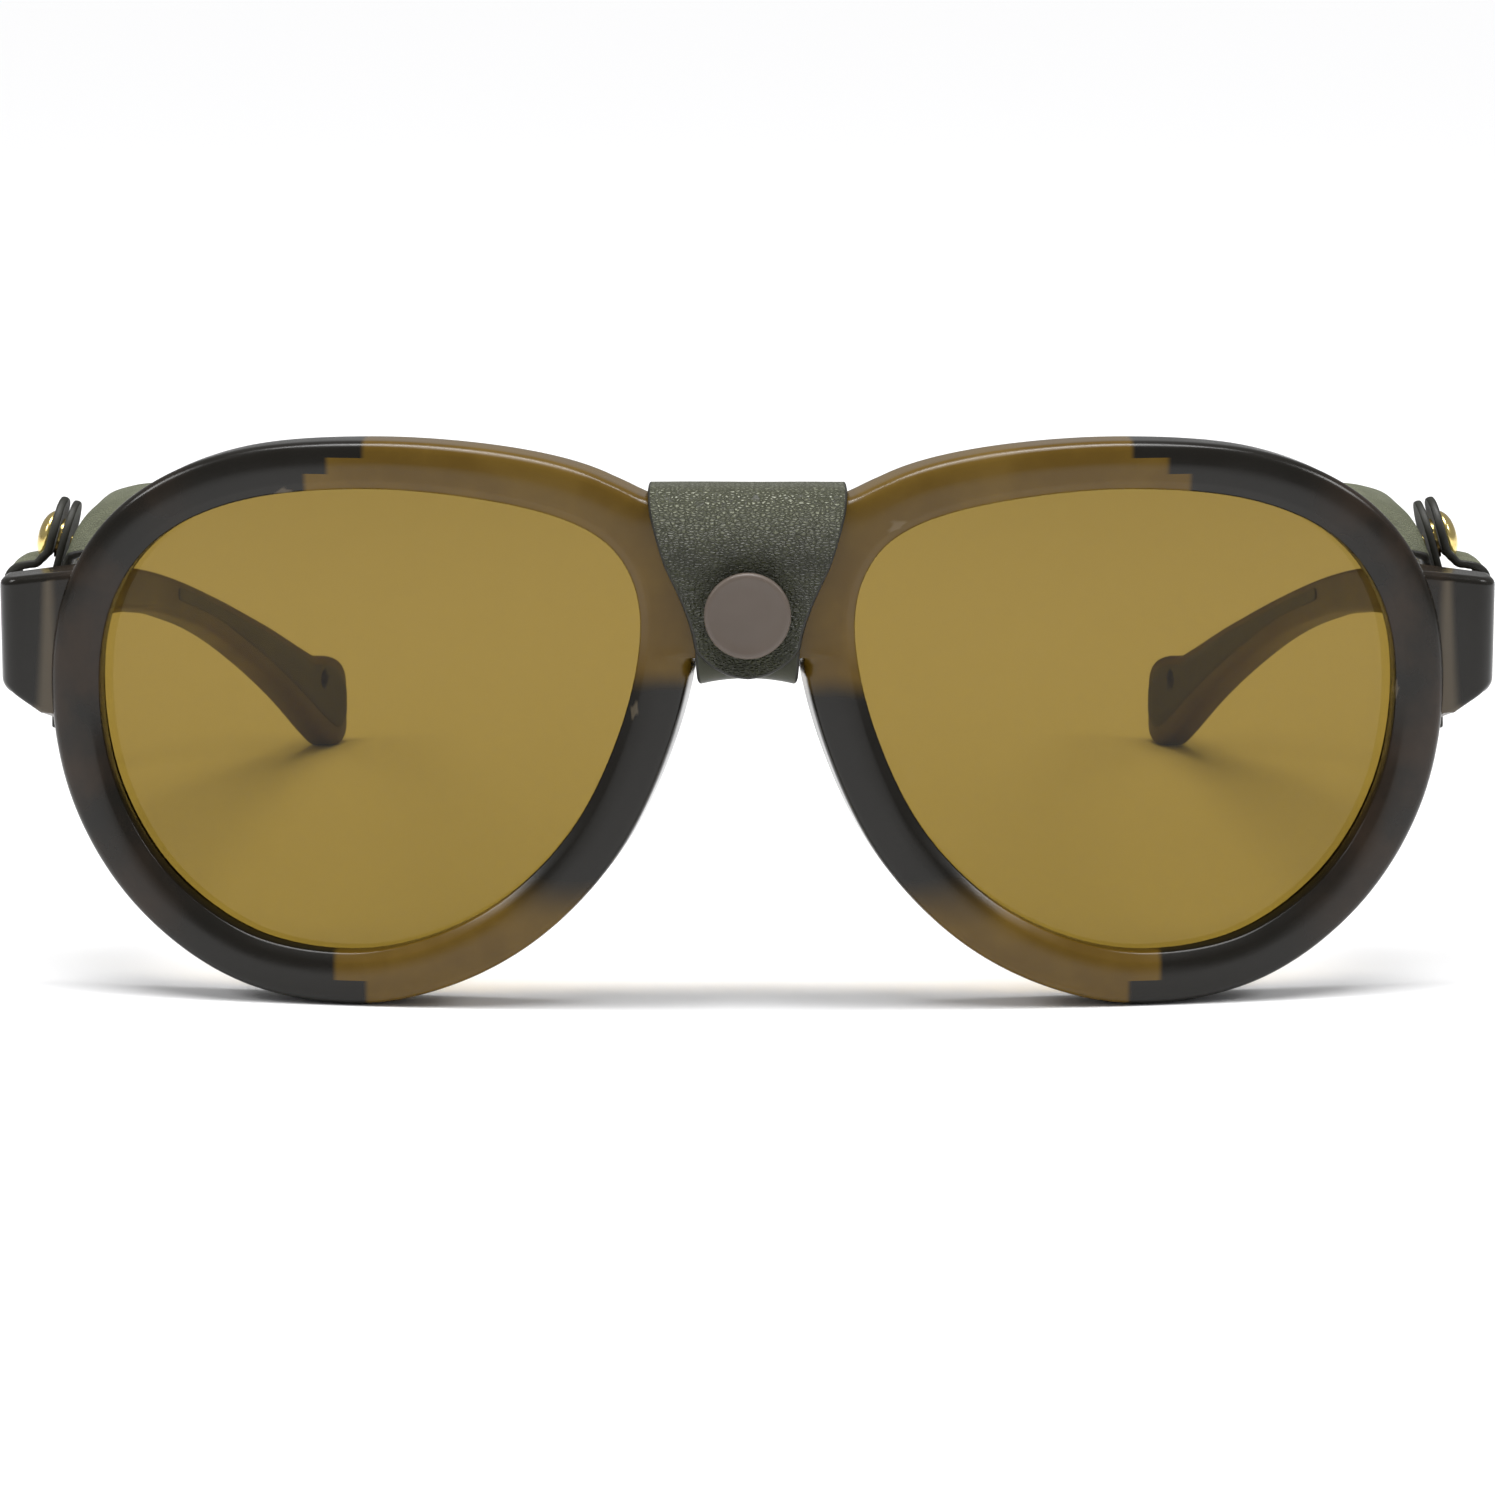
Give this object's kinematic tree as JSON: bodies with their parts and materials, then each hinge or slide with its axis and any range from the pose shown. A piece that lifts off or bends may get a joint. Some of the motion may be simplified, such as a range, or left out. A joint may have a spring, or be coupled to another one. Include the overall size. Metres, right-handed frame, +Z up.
{
  "type": "glacier glasses",
  "caption": "Glacier glasses with tinted lenses, folding temples, leather side shields snapped round the temples and a snapped leather bridge wrap.",
  "frame": {"origin": "on the ground, midway between the temples and midway between the front of the bridge cap and the temple tips", "axes": "+X to the wearer's left, +Y back towards the ears, +Z up"},
  "size_m": [0.1496, 0.1548, 0.056],
  "materials": {
    "frame_acetate": "satin translucent acetate, smoke brown over olive amber",
    "temple_acetate": "satin translucent acetate, smoke brown",
    "lens_tint": "polished, even olive gold tint",
    "pad_rubber": "matt soft rubber",
    "grip_rubber": "matt soft rubber",
    "hinge_metal": "satin nickel silver",
    "bridge_leather": "pebbled, semi-matt",
    "shield_leather": "pebbled, semi-matt, with black cut edges",
    "lining_leather": "smooth black lining leather",
    "bridge_cap_enamel": "satin taupe enamel",
    "snap_steel": "plated steel",
    "snap_brass": "polished brass"
  },
  "bodies": {
    "front": {"frame_front": "frame_acetate", "left_lens": "lens_tint", "right_lens": "lens_tint", "left_nose_pad": "pad_rubber", "right_nose_pad": "pad_rubber", "left_hinge_front_leaf": "hinge_metal", "right_hinge_front_leaf": "hinge_metal", "left_hinge_screw": "hinge_metal", "right_hinge_screw": "hinge_metal", "bridge_cover": "bridge_leather", "bridge_snap_stud": "snap_steel", "bridge_snap_post": "snap_steel"},
    "bridge_flap": {"bridge_flap": "bridge_leather", "bridge_snap_cap": "bridge_cap_enamel", "bridge_snap_socket": "snap_steel"},
    "left_temple": {"left_temple": "temple_acetate", "left_temple_grip": "grip_rubber", "left_hinge_temple_leaf": "hinge_metal", "left_side_shield": "shield_leather", "left_shield_strap": "shield_leather", "left_stud_patch": "lining_leather", "left_snap_stud": "snap_brass", "left_snap_post": "snap_brass"},
    "left_shield_tab": {"left_shield_tab": "shield_leather", "left_snap_cap": "snap_brass", "left_snap_socket": "snap_brass"},
    "right_temple": {"right_temple": "temple_acetate", "right_temple_grip": "grip_rubber", "right_hinge_temple_leaf": "hinge_metal", "right_side_shield": "shield_leather", "right_shield_strap": "shield_leather", "right_stud_patch": "lining_leather", "right_snap_stud": "snap_brass", "right_snap_post": "snap_brass"},
    "right_shield_tab": {"right_shield_tab": "shield_leather", "right_snap_cap": "snap_brass", "right_snap_socket": "snap_brass"}
  },
  "joints": [
    {"name": "bridge_flap_open", "type": "hinge", "parent": "front", "child": "bridge_flap", "pos_m": [0, -0.07358, 0.0501], "axis": [-1, 0, 0], "range_deg": [0, 140]},
    {"name": "left_temple_fold", "type": "hinge", "parent": "front", "child": "left_temple", "pos_m": [0.068, -0.05758, 0.036], "axis": [0, 0, 1], "range_deg": [0, 83], "deforming": ["left_side_shield"]},
    {"name": "left_tab_open", "type": "hinge", "parent": "left_temple", "child": "left_shield_tab", "pos_m": [0.07435, -0.04757, 0.0386], "axis": [0, 1, 0], "range_deg": [0, 115]},
    {"name": "right_temple_fold", "type": "hinge", "parent": "front", "child": "right_temple", "pos_m": [-0.068, -0.05758, 0.036], "axis": [0, 0, -1], "range_deg": [0, 78], "deforming": ["right_side_shield"]},
    {"name": "right_tab_open", "type": "hinge", "parent": "right_temple", "child": "right_shield_tab", "pos_m": [-0.07435, -0.04757, 0.0386], "axis": [0, -1, 0], "range_deg": [0, 115]}
  ]
}
